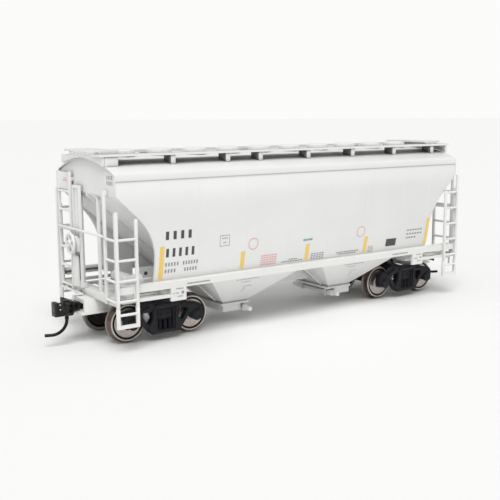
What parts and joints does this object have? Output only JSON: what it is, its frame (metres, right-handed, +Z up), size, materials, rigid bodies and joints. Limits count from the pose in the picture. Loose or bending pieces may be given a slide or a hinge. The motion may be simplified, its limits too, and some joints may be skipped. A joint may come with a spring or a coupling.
{
  "type": "model hopper car",
  "caption": "Scale model of a covered hopper freight car with sloped outlet bays, roof hatches and walkways, ladders, swivelling trucks and knuckle couplers.",
  "frame": {"origin": "middle of the car on the plane where the wheel flanges stand, at the bottom centre of its box", "axes": "+X along the car away from the brake wheel end, +Y to the far side, +Z up"},
  "size_m": [0.1574, 0.0392, 0.0536],
  "materials": {
    "body_plastic": "satin light grey paint on moulded plastic",
    "truck_plastic": "matt black moulded plastic",
    "axle_plastic": "matt black",
    "wheel_nickel": "turned nickel silver",
    "coupler_metal": "blackened casting",
    "steel_dark": "blackened wire",
    "spring_bronze": "phosphor bronze",
    "steel": "plated steel"
  },
  "bodies": {
    "car": {"body_shell": "body_plastic", "roof": "body_plastic", "loading_hatches": "body_plastic", "running_board_near": "body_plastic", "running_board_far": "body_plastic", "end_platform_b": "body_plastic", "end_platform_a": "body_plastic", "walk_supports": "body_plastic", "side_sill_near": "body_plastic", "side_sill_far": "body_plastic", "end_frame_b": "body_plastic", "end_frame_a": "body_plastic", "center_sill": "body_plastic", "hopper_bay_b": "body_plastic", "hopper_bay_a": "body_plastic", "outlet_gate_b": "body_plastic", "outlet_gate_a": "body_plastic", "gate_shafts": "body_plastic", "steel_weight": "steel", "end_ladders": "body_plastic", "side_ladders": "body_plastic", "stirrup_steps": "body_plastic", "end_handrails": "body_plastic", "brake_wheel": "body_plastic", "brake_housing": "body_plastic", "brake_stand": "body_plastic", "brake_chain_guard": "body_plastic", "air_reservoir": "body_plastic", "brake_cylinder": "body_plastic", "uncoupling_levers": "body_plastic", "draft_box_b": "body_plastic", "draft_box_a": "body_plastic", "draft_box_screws": "steel", "king_pins": "steel", "centring_spring_b": "spring_bronze", "centring_spring_a": "spring_bronze"},
    "truck_b": {"truck_bolster_b": "truck_plastic", "sideframe_b_near": "truck_plastic", "sideframe_b_far": "truck_plastic"},
    "wheelset_b_outer": {"axle_b_outer": "axle_plastic", "wheels_b_outer": "wheel_nickel"},
    "wheelset_b_inner": {"axle_b_inner": "axle_plastic", "wheels_b_inner": "wheel_nickel"},
    "coupler_b": {"coupler_b": "coupler_metal", "knuckle_spring_b": "spring_bronze"},
    "knuckle_b": {"knuckle_b": "coupler_metal", "trip_pin_b": "steel_dark"},
    "truck_a": {"truck_bolster_a": "truck_plastic", "sideframe_a_near": "truck_plastic", "sideframe_a_far": "truck_plastic"},
    "wheelset_a_outer": {"axle_a_outer": "axle_plastic", "wheels_a_outer": "wheel_nickel"},
    "wheelset_a_inner": {"axle_a_inner": "axle_plastic", "wheels_a_inner": "wheel_nickel"},
    "coupler_a": {"coupler_a": "coupler_metal", "knuckle_spring_a": "spring_bronze"},
    "knuckle_a": {"knuckle_a": "coupler_metal", "trip_pin_a": "steel_dark"}
  },
  "joints": [
    {"name": "truck_b_swivel", "type": "hinge", "parent": "car", "child": "truck_b", "pos_m": [-0.0478, 0, 0.0108], "axis": [0, 0, 1], "range_deg": [-9, 9]},
    {"name": "wheelset_b_outer_roll", "type": "hinge", "parent": "truck_b", "child": "wheelset_b_outer", "pos_m": [-0.058, 0, 0.00585], "axis": [0, 1, 0], "continuous": true},
    {"name": "wheelset_b_inner_roll", "type": "hinge", "parent": "truck_b", "child": "wheelset_b_inner", "pos_m": [-0.0376, 0, 0.00585], "axis": [0, 1, 0], "continuous": true},
    {"name": "coupler_b_swing", "type": "hinge", "parent": "car", "child": "coupler_b", "pos_m": [-0.0626, 0, 0.0105], "axis": [0, 0, 1], "range_deg": [-12, 12], "stiffness_Nm_per_rad": 0.002},
    {"name": "knuckle_b_open", "type": "hinge", "parent": "coupler_b", "child": "knuckle_b", "pos_m": [-0.0728, -0.0025, 0.0105], "axis": [0, 0, 1], "range_deg": [0, 25], "stiffness_Nm_per_rad": 0.001, "springref_deg": -11.46},
    {"name": "truck_a_swivel", "type": "hinge", "parent": "car", "child": "truck_a", "pos_m": [0.0478, 0, 0.0108], "axis": [0, 0, 1], "range_deg": [-9, 9]},
    {"name": "wheelset_a_outer_roll", "type": "hinge", "parent": "truck_a", "child": "wheelset_a_outer", "pos_m": [0.058, 0, 0.00585], "axis": [0, 1, 0], "continuous": true},
    {"name": "wheelset_a_inner_roll", "type": "hinge", "parent": "truck_a", "child": "wheelset_a_inner", "pos_m": [0.0376, 0, 0.00585], "axis": [0, 1, 0], "continuous": true},
    {"name": "coupler_a_swing", "type": "hinge", "parent": "car", "child": "coupler_a", "pos_m": [0.0626, 0, 0.0105], "axis": [0, 0, 1], "range_deg": [-12, 12], "stiffness_Nm_per_rad": 0.002},
    {"name": "knuckle_a_open", "type": "hinge", "parent": "coupler_a", "child": "knuckle_a", "pos_m": [0.0728, 0.0025, 0.0105], "axis": [0, 0, 1], "range_deg": [0, 25], "stiffness_Nm_per_rad": 0.001, "springref_deg": -11.46}
  ]
}
